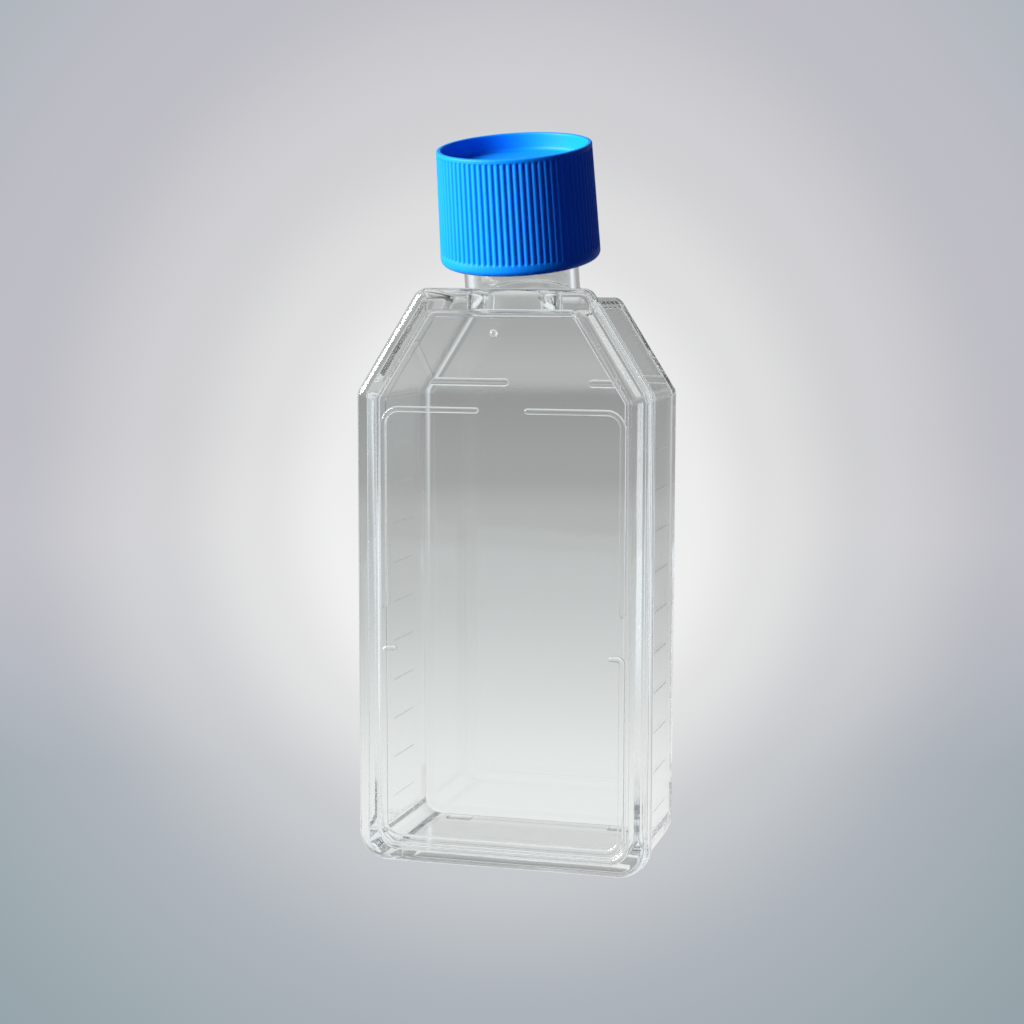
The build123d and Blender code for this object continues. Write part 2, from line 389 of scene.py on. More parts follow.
@dataclass
class Bead:
    """A flat-topped ridge laid along a flat path, half of it sunk into the surface that carries it."""

    work: bmesh.types.BMesh
    place: Vector
    heading: Vector
    up: Vector
    width: float
    height: float
    edge: float = 0.3
    rounds: int = 6
    sunk: float = 0.04

    def __post_init__(self) -> None:
        """Lays the first ring, its middle a little under the surface, and rounds off the start."""
        self.place = self.place - self.up * self.sunk
        half, tall = self.width / 2, self.height + self.sunk
        corners = [self.work.verts.new(self.pose(self.heading) @ Vector((x * half, y * tall, 0.0)))
                   for x, y in ((-1, -1), (1, -1), (1, 1), (-1, 1))]
        self.work.faces.new(corners)
        ease(self.work, corners, self.edge, self.rounds)
        self.ring = loosen(self.work, max(self.work.faces, key=lambda face: len(face.verts)))
        self.close(list(self.ring), -self.heading)

    def pose(self, heading: Vector) -> Matrix:
        """Where the ridge is now: its width along X, its height along Y, its run along Z."""
        turned = Matrix((heading.cross(self.up), self.up, heading)).transposed().to_4x4()
        return Matrix.Translation(self.place) @ turned

    def run(self, length: float) -> "Bead":
        """Goes straight on."""
        self.ring, verts = grow(self.work, self.ring)
        bmesh.ops.translate(self.work, verts=verts, vec=self.heading * length)
        self.place = self.place + self.heading * length
        return self

    def turn(self, degrees: float, radius: float, steps: int = 10) -> "Bead":
        """Goes round an arc, to the side of heading cross up if it is positive."""
        side = math.copysign(radius, degrees)
        centre = self.place + self.heading.cross(self.up) * side
        angle = -math.radians(degrees)
        verts = list({vert for edge in self.ring for vert in edge.verts})
        made = bmesh.ops.spin(self.work, geom=self.ring + verts, axis=self.up, cent=centre,
                              angle=angle, steps=steps)["geom_last"]
        self.ring = [item for item in made if isinstance(item, bmesh.types.BMEdge)]
        swing = Matrix.Rotation(angle, 3, self.up)
        self.place = centre + swing @ (self.place - centre)
        self.heading = swing @ self.heading
        return self

    def close(self, ring: Ring, heading: Vector, steps: int = 6) -> None:
        """Closes a ring at the present place by a half round as seen from above."""
        reach, last_on, last_wide, last_tall = self.width / 2, 0.0, 1.0, 1.0
        inward = self.pose(heading).inverted()
        for step in range(1, steps):
            angle = math.radians(90.0 * step / steps)
            on, wide, tall = reach * math.sin(angle), math.cos(angle), math.cos(angle) ** 0.15
            ring, verts = grow(self.work, ring)
            bmesh.ops.translate(self.work, verts=verts, vec=heading * (on - last_on))
            bmesh.ops.scale(self.work, verts=verts, vec=(wide / last_wide, tall / last_tall, 1.0),
                            space=inward)
            last_on, last_wide, last_tall = on, wide, tall
        _, verts = grow(self.work, ring)
        bmesh.ops.pointmerge(self.work, verts=verts, merge_co=self.place + heading * reach)

    def end(self) -> None:
        """Rounds off the end."""
        self.close(self.ring, self.heading)


# ---- Finishes ------------------------------------------------------------------------------
@dataclass(frozen=True)
class ClearPlastic:
    """Clear moulded polystyrene."""

    name: str
    tint: Colour = (0.955, 0.975, 0.968)
    polish: float = 0.0
    dull: float = 0.03
    ior: float = 1.59
    bump: float = 0.02

    def material(self, surface: bpy.types.NodeTree) -> bpy.types.Material:
        """Makes the material, which lets lamps shine through.

        Args:
            surface: The shared moulded surface group.

        Returns:
            The material.
        """
        made = bpy.data.materials.new(self.name)
        made.use_nodes = True
        sheet = NodeSheet(made.node_tree)
        skin = sheet.group(surface, Wave_Size=0.012, Wave_Share=0.96, Grain_Size=0.0006)
        shader = sheet.add("BsdfPrincipled")
        sheet.feed(shader.inputs["Base Color"], (*self.tint, 1.0))
        sheet.feed(shader.inputs["Transmission Weight"], 1.0)
        sheet.feed(shader.inputs["IOR"], self.ior)
        haze = sheet.maths("MULTIPLY_ADD", skin.outputs["Haze"], self.dull, self.polish)
        sheet.feed(shader.inputs["Roughness"], haze)
        bump = sheet.add("Bump")
        sheet.feed(bump.inputs["Strength"], self.bump)
        sheet.feed(bump.inputs["Distance"], MM)
        sheet.feed(bump.inputs["Height"], skin.outputs["Height"])
        sheet.feed(shader.inputs["Normal"], bump.outputs[0])
        clear = sheet.add("BsdfTransparent")
        path = sheet.add("LightPath")
        mix = sheet.add("MixShader")
        sheet.feed(mix.inputs[0], path.outputs[Ray.SHADOW.value])
        sheet.feed(mix.inputs[1], shader.outputs[0])
        sheet.feed(mix.inputs[2], clear.outputs[0])
        sheet.feed(sheet.add("OutputMaterial").inputs[0], mix.outputs[0])
        return made


@dataclass(frozen=True)
class CapPlastic:
    """Dyed satin polyethylene."""

    name: str
    dye: Colour = (0.002, 0.23, 0.90)
    worn: Colour = (0.004, 0.27, 0.92)
    roughness: float = 0.4
    gloss: float = 0.15
    bump: float = 0.15

    def material(self, surface: bpy.types.NodeTree) -> bpy.types.Material:
        """Makes the material.

        Args:
            surface: The shared moulded surface group.

        Returns:
            The material.
        """
        made = bpy.data.materials.new(self.name)
        made.use_nodes = True
        sheet = NodeSheet(made.node_tree)
        skin = sheet.group(surface, Wave_Size=0.004, Wave_Share=0.7, Grain_Size=0.00015)
        shader = sheet.add("BsdfPrincipled")
        sheet.feed(shader.inputs["Base Color"], sheet.blend(skin.outputs["Haze"], self.dye, self.worn))
        sheet.feed(shader.inputs["Specular IOR Level"], self.gloss)
        haze = sheet.maths("MULTIPLY_ADD", skin.outputs["Haze"], 0.1, self.roughness)
        sheet.feed(shader.inputs["Roughness"], haze)
        bump = sheet.add("Bump")
        sheet.feed(bump.inputs["Strength"], self.bump)
        sheet.feed(bump.inputs["Distance"], 0.1 * MM)
        sheet.feed(bump.inputs["Height"], skin.outputs["Height"])
        sheet.feed(shader.inputs["Normal"], bump.outputs[0])
        sheet.feed(sheet.add("OutputMaterial").inputs[0], shader.outputs[0])
        return made


# ---- Flask ---------------------------------------------------------------------------------
@dataclass(frozen=True)
class Outline:
    """The flask's outline in millimetres, a rectangle with two slanted shoulders."""

    width: float = 44.0
    height: float = 84.6
    shoulder: float = 69.6
    top: float = 25.2
    corner_round: float = 4.5
    shoulder_round: float = 2.4
    top_round: float = 1.8
    rounds: int = 8

    def reach(self, inset: float) -> tuple[float, float, float, float]:
        """Half width, shoulder height, half top width and height of the outline set in."""
        half, top_half = self.width / 2, self.top / 2
        run, rise = half - top_half, self.height - self.shoulder
        length = math.hypot(run, rise)
        out_x, out_z = rise / length, run / length
        line = out_x * half + out_z * self.shoulder - inset
        half, height = half - inset, self.height - inset
        return half, (line - out_x * half) / out_z, (line - out_z * height) / out_x, height

    def half_width(self, level: float, inset: float) -> float:
        """Half the width at a height, of the outline set in."""
        half, shoulder, top_half, height = self.reach(inset)
        share = max(0.0, (level - shoulder) / (height - shoulder))
        return half + share * (top_half - half)

    def face(self, work: bmesh.types.BMesh, depth: float, inset: float, bottom: float,
             least: float = 0.3, corner: float | None = None) -> bmesh.types.BMFace:
        """Adds the outline as a face at one depth.

        Args:
            work: The mesh.
            depth: Distance behind the stacking rim's front.
            inset: How far it is set in at the sides, the shoulders and the top.
            bottom: Height of its lower side.
            least: Least radius of its corners.
            corner: Radius at the lower corners, where it isn't the flask's own less the inset.

        Returns:
            The face.
        """
        half, shoulder, top_half, height = self.reach(inset)
        low, high = [(-half, bottom), (half, bottom)], [(half, shoulder), (-half, shoulder)]
        top = [(top_half, height), (-top_half, height)]
        order = [low[0], low[1], high[0], top[0], top[1], high[1]]
        verts = [work.verts.new((x, depth, z)) for x, z in order]
        work.faces.new(verts)
        lower = corner if corner is not None else self.corner_round - inset
        for corners, radius in ((verts[:2], lower), ((verts[2], verts[5]), self.shoulder_round - inset),
                                (verts[3:5], self.top_round - inset)):
            ease(work, list(corners), max(radius, least), self.rounds)
        return next(found for found in work.faces
                    if all(abs(vert.co.y - depth) < 1e-4 for vert in found.verts))

    def ring(self, work: bmesh.types.BMesh, depth: float, inset: float, bottom: float,
             **rounding: float) -> Ring:
        """Adds the outline as a ring of edges at one depth; its arguments are those of face."""
        return loosen(work, self.face(work, depth, inset, bottom, **rounding))


@dataclass(frozen=True)
class Thread:
    """A screw thread's form in millimetres, with its rounding's share of the height and steps a turn."""

    pitch: float = 3.0
    turns: float = 1.5
    root: float = 1.4
    crest: float = 0.6
    sunk: float = 0.2
    fade: float = 3.0
    crest_share: float = 0.25
    steps: int = 72


@dataclass(frozen=True)
class Walls:
    """Depths and thicknesses in millimetres, depths from the stacking rim's front; draft in degrees."""

    depth: float = 25.7
    rim: float = 0.8
    cover: float = 1.2
    flange: float = 1.2
    flange_reach: float = 1.3
    wall: float = 1.7
    growth: float = 1.5
    draft: float = 0.6
    cavity_corner: float = 3.0
    inside_round: float = 1.2
    seat: float = 0.6
    seat_width: float = 1.0
    seat_gap: float = 0.15
    weld_gap: float = 0.04
    ledge: float = 0.15
    rim_width: float = 3.25
    end_rim_width: float = 2.7

    @property
    def lean(self) -> float:
        """How far a drafted wall moves in for each millimetre of depth."""
        return math.tan(math.radians(self.draft))

    @property
    def cover_back(self) -> float:
        """Depth at which the cover plate meets the flange."""
        return self.rim + self.cover

    @property
    def flange_back(self) -> float:
        """Depth of the flange's back."""
        return self.cover_back + self.flange

    @property
    def cavity_back(self) -> float:
        """Depth of the growth wall's inside."""
        return self.depth - self.growth

    @property
    def floor_reach(self) -> float:
        """From the outline to the outside of a side wall, at the depth of the growth wall's inside."""
        return self.flange_reach + (self.cavity_back - self.cover_back) * self.lean


@dataclass(frozen=True)
class NeckLine:
    """The canted neck's axis and sizes in millimetres."""

    cant: float = 13.5
    setback: float = 12.15
    root: float = 83.3
    length: float = 18.4
    radius: float = 8.4
    bore: float = 7.2
    lip: float = 0.4
    thread_height: float = 0.9
    thread_drop: float = 2.2

    def pose(self, along: float = 0.0) -> Matrix:
        """Where a piece drawn upright about the Z axis goes.

        Args:
            along: How far along the neck it is moved.

        Returns:
            The matrix that puts it there.
        """
        place = Matrix.Translation((0.0, self.setback, self.root))
        return place @ Matrix.Rotation(math.radians(self.cant), 4, "X") @ Matrix.Translation((0, 0, along))


@dataclass
class FlaskPiece:
    """A piece of the visual model, drawn in millimetres behind the stacking rim's front."""

    name: str
    nodes: tuple[str, ...]
    body: str
    slot: str
    finish: bpy.types.Material

    def settle(self, piece: bpy.types.Object, sharp: float = 40.0) -> bpy.types.Object:
        """Moves a drawn piece to its place, in metres, and finishes it.

        Args:
            piece: The object, drawn in millimetres.
            sharp: Angle in degrees over which an edge stays sharp.

        Returns:
            The object.
        """
        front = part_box("cover_plate")[0].y
        piece.data.transform(Matrix.Translation((0.0, front, 0.0)) @ Matrix.Scale(MM, 4))
        piece.data.shade_smooth()
        piece.data.set_sharp_from_angle(angle=math.radians(sharp))
        weigh = piece.modifiers.new("even_shading", "WEIGHTED_NORMAL")
        weigh.keep_sharp = True
        piece.data.materials.clear()
        piece.data.materials.append(self.finish)
        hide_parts(*self.nodes)
        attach(piece, self.body)
        LOG.info("%s: %d faces", piece.name, len(piece.data.polygons))
        return piece


@dataclass
class Tray(FlaskPiece):
    """The moulded tray: flange, drafted walls, neck with its thread, dam, graduations and feet."""

    outline: Outline = field(default_factory=Outline)
    walls: Walls = field(default_factory=Walls)
    neck: NeckLine = field(default_factory=NeckLine)
    thread: Thread = field(default_factory=Thread)
    flange_round: float = 0.25
    back_round: float = 1.2
    foot_round: float = 0.4
    end_step: float = 0.02
    root_flare: float = 0.5
    flare_foot: float = 0.1
    flare_top: float = 0.8
    flare_round: float = 0.6
    neck_start: float = 8.0

    def shell(self) -> bpy.types.Object:
        """Makes the tray without what stands on it."""
        sizes, shape = self.walls, self.outline
        work = bmesh.new()
        deep, back = sizes.cavity_back - sizes.cover_back, sizes.depth - sizes.flange_back
        inside, in_lean, out_lean = sizes.flange_reach + sizes.wall, deep * sizes.lean, back * sizes.lean
        loose, snug = 1.5 * sizes.inside_round, 1.5 * self.back_round
        floor = list(shape.face(work, sizes.cavity_back, inside + in_lean, sizes.wall + in_lean,
                                least=loose - in_lean, corner=sizes.cavity_corner - in_lean).edges)
        mouth = shape.ring(work, sizes.cover_back, inside, sizes.wall,
                           least=loose, corner=sizes.cavity_corner)
        front = shape.ring(work, sizes.cover_back, 0.0, 0.0)
        turns = [math.radians(angle) for angle in (0, 30, 60, 90)]
        rear = [shape.ring(work, sizes.flange_back - self.flange_round * (1 - math.sin(turn)),
                           self.flange_round * (1 - math.cos(turn)), 0.0) for turn in turns]
        foot = [shape.ring(work, sizes.flange_back + self.foot_round * (1 - math.cos(turn)),
                           sizes.flange_reach - self.foot_round * (1 - math.sin(turn)),
                           self.end_step * (1 + math.sin(turn)) / 2, least=snug) for turn in turns]
        outside = list(shape.face(work, sizes.depth, sizes.flange_reach + out_lean,
                                  self.end_step + out_lean, least=snug - out_lean).edges)
        rings = (floor, mouth, front, *rear, *foot, outside)
        for first, second in zip(rings, rings[1:]):
            bridge(work, first, second)
        round_edges(work, floor, sizes.inside_round, 6)
        round_edges(work, outside, self.back_round, 6)
        round_edges(work, front, self.flange_round, 3)
        return as_object(work, self.name)

    def neck_tube(self) -> bpy.types.Object:
        """Makes the neck as a solid rod that starts inside the neck end wall."""
        neck = self.neck
        flare = neck.radius + self.root_flare
        work = lathe([
            (0, -self.neck_start, 0), (flare, -self.neck_start, 0), (flare, self.flare_foot, 0),
            (neck.radius, self.flare_top, self.flare_round), (neck.radius, neck.length, neck.lip),
            (0, neck.length, 0)])
        work.transform(neck.pose())
        inside_wall = neck.root - self.walls.wall / 2 - 0.15
        cut = bmesh.ops.bisect_plane(work, geom=list(work.verts) + list(work.edges) + list(work.faces),
                                     plane_co=(0, 0, inside_wall), plane_no=(0, 0, 1), clear_inner=True)
        rim = [item for item in cut["geom_cut"] if isinstance(item, bmesh.types.BMEdge)]
        bmesh.ops.contextual_create(work, geom=rim)
        return as_object(work, "neck_rod")

    def thread_ridge(self) -> bpy.types.Object:
        """Makes the neck's thread."""
        neck = self.neck
        work = screw_ridge(neck.radius, neck.thread_height, self.thread, neck.length - neck.thread_drop)
        work.transform(neck.pose())
        return as_object(work, "thread")

    def bore(self) -> bpy.types.Object:
        """Makes the solid that opens the neck."""
        neck = self.neck
        wide = neck.bore + neck.lip
        past = neck.length + 2.0
        work = lathe([
            (0, -self.neck_start, 0), (neck.bore, -self.neck_start, 0),
            (neck.bore, neck.length - neck.lip, 0.3), (wide, neck.length, 0), (wide, past, 0),
            (0, past, 0)])
        work.transform(neck.pose())
        return as_object(work, "bore")

    def marks(self, volume: float = 5000.0, count: int = 10, length: float = 9.0,
              width: float = 0.45, height: float = 0.025) -> bpy.types.Object:
        """Makes the graduations on both side walls.

        Args:
            volume: Cubic millimetres from one mark to the next.
            count: Marks on each side.
            length: A mark's length.
            width: Its width.
            height: How far it stands out.

        Returns:
            The marks as one object.
        """
        sizes = self.walls
        middle = (sizes.flange_back + sizes.depth) / 2
        half = self.outline.width / 2 - sizes.flange_reach
        inner = 2 * (half - sizes.wall - (middle - sizes.flange_back) * sizes.lean) * (
            sizes.cavity_back - sizes.cover_back)
        surface = half - (middle - sizes.flange_back) * sizes.lean
        tilt = math.radians(sizes.draft)
        work = bmesh.new()
        for side in (-1, 1):
            heading = Vector((-side * math.sin(tilt), math.cos(tilt), 0.0))
            up = Vector((side * math.cos(tilt), math.sin(tilt), 0.0))
            for step in range(1, count + 1):
                centre = Vector((side * surface, middle, sizes.wall + step * volume / inner))
                Bead(work, centre - heading * (length - width) / 2, heading, up, width, height,
                     edge=0.2, rounds=4, sunk=0.12).run(length - width).end()
        return as_object(work, "marks")

    def dam(self, rise: float = 0.45, gap: float = 12.6, shift: float = 0.9, width: float = 1.3,
            height: float = 0.6) -> bpy.types.Object:
        """Makes the low ridge across the growth wall's inside.

        Args:
            rise: Its height over the shoulder's start.
            gap: The opening's width.
            shift: How far the opening is off the middle.
            width: The ridge's width.
            height: How far it stands out.

        Returns:
            Both halves as one object.
        """
        sizes = self.walls
        level = self.outline.shoulder + rise
        reach = self.outline.half_width(level, sizes.floor_reach) - sizes.wall / 2
        work = bmesh.new()
        for side in (-1, 1):
            start = side * (gap / 2 + side * shift + width / 2)
            Bead(work, Vector((start, sizes.cavity_back, level)), Vector((side, 0, 0)), Vector((0, -1, 0)),
                 width, height, edge=0.45).run(reach - abs(start)).end()
        return as_object(work, "dam")

    def feet(self, spacing: float = 26.0, length: float = 4.0, width: float = 2.2,
             setback: float = 1.8) -> bpy.types.Object:
        """Makes the two feet at the back of the standing end."""
        work = bmesh.new()
        middle = self.walls.depth - setback - width / 2
        for side in (-1, 1):
            place = Matrix.Translation((side * spacing / 2, middle, self.walls.wall / 4))
            bmesh.ops.create_cube(work, size=1.0, matrix=place @ Matrix.Diagonal(
                (length, width, self.walls.wall / 2, 1.0)))
        low = [edge for edge in work.edges if all(vert.co.z < 1e-4 for vert in edge.verts)]
        upright = [edge for edge in work.edges if abs(edge.verts[0].co.z - edge.verts[1].co.z) > 0.1]
        round_edges(work, low + upright, 0.25, 3)
        return as_object(work, "feet")

    def build(self) -> bpy.types.Object:
        """Makes the piece and returns it."""
        piece = self.shell()
        added = (self.marks(), self.neck_tube(), self.thread_ridge(), self.dam(), self.feet())
        fuse(piece, [(Fusing.ADD, tool) for tool in added] + [(Fusing.CUT, self.bore())])
        return self.settle(piece)


@dataclass
class CoverWindow(FlaskPiece):
    """The welded cover plate: stacking rim, recessed window, raised lines and locating ring."""

    outline: Outline = field(default_factory=Outline)
    walls: Walls = field(default_factory=Walls)
    rim_round: float = 1.1
    lip_round: float = 0.3
    window_round: float = 0.25
    window_corner: float = 2.7
    ridge_width: float = 0.9
    ridge_height: float = 0.4

    def plate(self) -> bpy.types.Object:
        """Makes the plate without its raised lines."""
        sizes, shape = self.walls, self.outline
        inset, low = sizes.ledge + sizes.rim_width, sizes.ledge + sizes.end_rim_width
        inside = sizes.flange_reach + sizes.wall + sizes.seat_gap
        base = sizes.wall + sizes.seat_gap
        back = sizes.cover_back - sizes.weld_gap
        seat_end = sizes.cover_back + sizes.seat
        work = bmesh.new()
        window = list(shape.face(work, sizes.rim, inset, low, corner=self.window_corner).edges)
        lip = shape.ring(work, 0.0, inset, low, corner=self.window_corner)
        front = shape.ring(work, 0.0, sizes.ledge, sizes.ledge)
        rear = shape.ring(work, back, sizes.ledge, sizes.ledge)
        outer = {"corner": sizes.cavity_corner - sizes.seat_gap,
                 "least": 1.5 * sizes.inside_round - sizes.seat_gap}
        inner = {name: radius - sizes.seat_width for name, radius in outer.items()}
        within, above = inside + sizes.seat_width, base + sizes.seat_width
        seat_root = shape.ring(work, back, inside, base, **outer)
        seat_out = shape.ring(work, seat_end, inside, base, **outer)
        seat_in = shape.ring(work, seat_end, within, above, **inner)
        behind = list(shape.face(work, back, within, above, **inner).edges)
        rings = (window, lip, front, rear, seat_root, seat_out, seat_in, behind)
        for first, second in zip(rings, rings[1:]):
            bridge(work, first, second)
        round_edges(work, front, self.rim_round, 5)
        round_edges(work, lip, self.lip_round, 5)
        round_edges(work, window, self.window_round, 4)
        round_edges(work, seat_out + seat_in, 0.15, 2)
        return as_object(work, self.name)

    def lines(self, inset: float = 0.3, top_inset: float = 1.0, end_inset: float = 0.5, corner: float = 2.3,
              gap: float = 6.8, broken_from: float = 32.0, broken: float = 6.0,
              tick: float = 1.5) -> bpy.types.Object:
        """Makes the raised lines round the window.

        Args:
            inset: Window's edge to a line's outer side, at both sides.
            top_inset: The same under the shoulders.
            end_inset: The same at the standing end.
            corner: Radius of their corners.
            gap: Opening in the middle of the top line.
            broken_from: Height at which the side lines are broken.
            broken: Length of that break.
            tick: Length of a line's turned-in end.

        Returns:
            The lines as one object.
        """
        sizes, shape = self.walls, self.outline
        edge = sizes.ledge + sizes.rim_width
        half = shape.width / 2 - edge - inset - self.ridge_width / 2
        low = sizes.ledge + sizes.end_rim_width + end_inset + self.ridge_width / 2
        high = shape.reach(edge)[1] - top_inset - self.ridge_width / 2
        up = Vector((0, -1, 0))
        cap = self.ridge_width / 2
        work = bmesh.new()
        for side in (-1, 1):
            start = Vector((side * (gap / 2 + cap), sizes.rim, high))
            bead = Bead(work, start, Vector((side, 0, 0)), up, self.ridge_width, self.ridge_height)
            bead.run(half - corner - abs(start.x)).turn(side * 90.0, corner)
            bead.run(high - corner - broken_from - broken - cap).end()
        tip = half - tick
        bead = Bead(work, Vector((-tip, sizes.rim, broken_from)), Vector((-1, 0, 0)), up,
                    self.ridge_width, self.ridge_height)
        turn = 0.6
        upright = broken_from - turn - low - corner
        bead.run(tick - turn).turn(-90.0, turn, 5).run(upright).turn(-90.0, corner)
        bead.run(2 * (half - corner)).turn(-90.0, corner).run(upright)
        bead.turn(-90.0, turn, 5).run(tick - turn).end()
        return as_object(work, "raised_lines")

    def gate(self, drop: float = 6.4, offset: float = -1.2, radius: float = 0.6,
             height: float = 0.5) -> bpy.types.Object:
        """Makes the gate mark, a low dome."""
        work = bmesh.new()
        place = Matrix.Translation((offset, self.walls.rim, self.outline.height - drop))
        bmesh.ops.create_uvsphere(work, u_segments=24, v_segments=12, radius=1.0,
                                  matrix=place @ Matrix.Diagonal((radius, height, radius, 1.0)))
        return as_object(work, "gate_mark")

    def build(self) -> bpy.types.Object:
        """Makes the piece and returns it."""
        piece = self.plate()
        fuse(piece, [(Fusing.ADD, self.lines()), (Fusing.ADD, self.gate())])
        return self.settle(piece)


@dataclass
class ScrewCap(FlaskPiece):
    """The ribbed screw cap with its recessed top, plug ring and inner thread."""

    neck: NeckLine = field(default_factory=NeckLine)
    thread: Thread = field(default_factory=Thread)
    height: float = 16.65
    radius: float = 11.72
    bore: float = 10.0
    taper: float = 1.65
    top_wall: float = 1.2
    foot_round: float = 0.9
    rim_round: float = 0.25
    recess: float = 2.6
    rim: float = 0.75
    recess_round: float = 0.6
    grooves: int = 80
    groove_depth: float = 0.2
    groove_share: float = 0.75
    groove_from: float = 1.6
    groove_to: float = 0.6
    groove_end: float = 0.35
    plug_length: float = 3.0
    plug_wall: float = 0.9
    plug_gap: float = 0.08
    thread_height: float = 0.55
    seat: float = 0.05

    def profile(self) -> list[tuple[float, float, float]]:
        """Corners of half the section, from axis to axis, with their roundings."""
        top = self.radius - self.height * math.tan(math.radians(self.taper))
        inside = self.height - self.recess - self.top_wall
        dish, floor = top - self.rim, self.height - self.recess
        plug = self.neck.bore - self.plug_gap
        return [
            (0, floor, 0), (dish, floor, self.recess_round), (dish, self.height, self.rim_round),
            (top, self.height, self.rim_round), (self.radius, 0, self.foot_round), (self.bore, 0, 0.25),
            (self.bore, inside, 0.3), (plug, inside, 0.2), (plug, inside - self.plug_length, 0.4),
            (plug - self.plug_wall, inside - self.plug_length, 0.2), (plug - self.plug_wall, inside, 0.2),
            (0, inside, 0)]

    def cut_grooves(self, work: bmesh.types.BMesh) -> None:
        """Presses one groove into the outside of a sector."""
        low, high = self.groove_from, self.height - self.groove_to
        ends = [0.0, 0.12, 0.4, 1.0]
        for level in [low + e * self.groove_end for e in ends] + [high - e * self.groove_end for e in ends]:
            geom = list(work.verts) + list(work.edges) + list(work.faces)
            bmesh.ops.bisect_plane(work, geom=geom, plane_co=(0, 0, level), plane_no=(0, 0, 1))
        half = math.pi / self.grooves
        for vert in work.verts:
            out = math.hypot(vert.co.x, vert.co.y)
            nearness = min(vert.co.z - low, high - vert.co.z) / self.groove_end
            skin = self.radius - vert.co.z * math.tan(math.radians(self.taper))
            if out < skin - 0.1 or nearness < -1e-3:
                continue
            across = min(1.0, abs(math.atan2(vert.co.y, vert.co.x)) / (half * self.groove_share))
            fade = math.sqrt(1.0 - (1.0 - max(0.0, min(1.0, nearness))) ** 2)
            wanted = out - self.groove_depth * fade * (0.5 + 0.5 * math.cos(math.pi * across)) ** 0.8
            vert.co.x, vert.co.y = vert.co.x * wanted / out, vert.co.y * wanted / out

    def skirt(self, steps: int = 10) -> bmesh.types.BMesh:
        """Makes the cap without its inner thread, one grooved sector at a time."""
        work = bmesh.new()
        edges = section(work, self.profile(), 5)
        pitch = 2 * math.pi / self.grooves
        bmesh.ops.rotate(work, verts=work.verts, cent=(0, 0, 0), matrix=Matrix.Rotation(-pitch / 2, 3, "Z"))
        bmesh.ops.spin(work, geom=edges + list(work.verts), axis=(0, 0, 1), cent=(0, 0, 0),
                       angle=pitch, steps=steps)
        self.cut_grooves(work)
        sector = list(work.verts) + list(work.edges) + list(work.faces)
        bmesh.ops.spin(work, geom=sector, axis=(0, 0, 1), cent=(0, 0, 0), angle=2 * math.pi - pitch,
                       steps=self.grooves - 1, use_duplicate=True)
        bmesh.ops.remove_doubles(work, verts=work.verts, dist=1e-3)
        return work

    def build(self) -> bpy.types.Object:
        """Makes the piece and returns it."""
        work = self.skirt()
        inside = self.height - self.recess - self.top_wall
        ridge = screw_ridge(self.bore, -self.thread_height, self.thread,
                            inside - self.neck.thread_drop - self.thread.pitch / 2)
        ridge_mesh = bpy.data.meshes.new("ridge")
        ridge.to_mesh(ridge_mesh)
        ridge.free()
        work.from_mesh(ridge_mesh)
        bpy.data.meshes.remove(ridge_mesh)
        work.transform(self.neck.pose(self.neck.length + self.seat - inside))
        return self.settle(as_object(work, self.name))


# ---- Studio --------------------------------------------------------------------------------
@dataclass(frozen=True)
class Viewpoint:
    """Where the camera stands and how it looks."""

    place: Vector = field(default_factory=lambda: Vector((0.08467, -0.30339, 0.08694)))
    yaw: float = 15.82
    pitch: float = -6.41
    roll: float = 0.1
    lens: float = 75.23

    def turn(self) -> Matrix:
        """The camera's orientation."""
        upright = Matrix.Rotation(math.radians(90.0 + self.pitch), 4, "X")
        rolled = upright @ Matrix.Rotation(math.radians(self.roll), 4, "Z")
        return Matrix.Rotation(math.radians(self.yaw), 4, "Z") @ rolled

    def build(self) -> bpy.types.Object:
        """Makes the scene's camera and returns it."""
        data = bpy.data.cameras.new("camera")
        data.lens = self.lens
        data.clip_start, data.clip_end = 0.01, 20.0
        camera = bpy.data.objects.new("camera", data)
        bpy.context.scene.collection.objects.link(camera)
        camera.matrix_world = Matrix.Translation(self.place) @ self.turn()
        bpy.context.scene.camera = camera
        return camera


@dataclass(frozen=True)
class SoftBox:
    """A rectangular studio lamp aimed at a point, which only glossy and diffuse surfaces answer."""

    name: str
    place: tuple[float, float, float]
    width: float
    height: float
    watts: float
    aim: tuple[float, float, float] = (0.0, 0.0, 0.055)

    def build(self) -> bpy.types.Object:
        """Makes the lamp and returns it."""
        data = bpy.data.lights.new(self.name, "AREA")
        data.shape = "RECTANGLE"
        data.size, data.size_y = self.width, self.height
        data.energy = self.watts
        lamp = bpy.data.objects.new(self.name, data)
        bpy.context.scene.collection.objects.link(lamp)
        away = (Vector(self.place) - Vector(self.aim)).to_track_quat("Z", "Y")
        lamp.matrix_world = Matrix.Translation(self.place) @ away.to_matrix().to_4x4()
        lamp.visible_camera = False
        lamp.visible_transmission = False
        return lamp


@dataclass(frozen=True)
class RestView:
    """The view that the stage's paint is laid out in, which is the camera's own.

    These are the camera's place, turn and half angle of view, rounded and written again as fixed
    numbers. The paint keeps to them when the camera moves, so it is made for one view only.
    """

    place: Vector = field(default_factory=lambda: Vector((0.085, -0.303, 0.087)))
    yaw: float = 15.8
    pitch: float = -6.4
    half: float = math.radians(13.46)

    def turn(self) -> Matrix:
        """The orientation of a camera with this view, without its roll."""
        upright = Matrix.Rotation(math.radians(90.0 + self.pitch), 4, "X")
        return Matrix.Rotation(math.radians(self.yaw), 4, "Z") @ upright


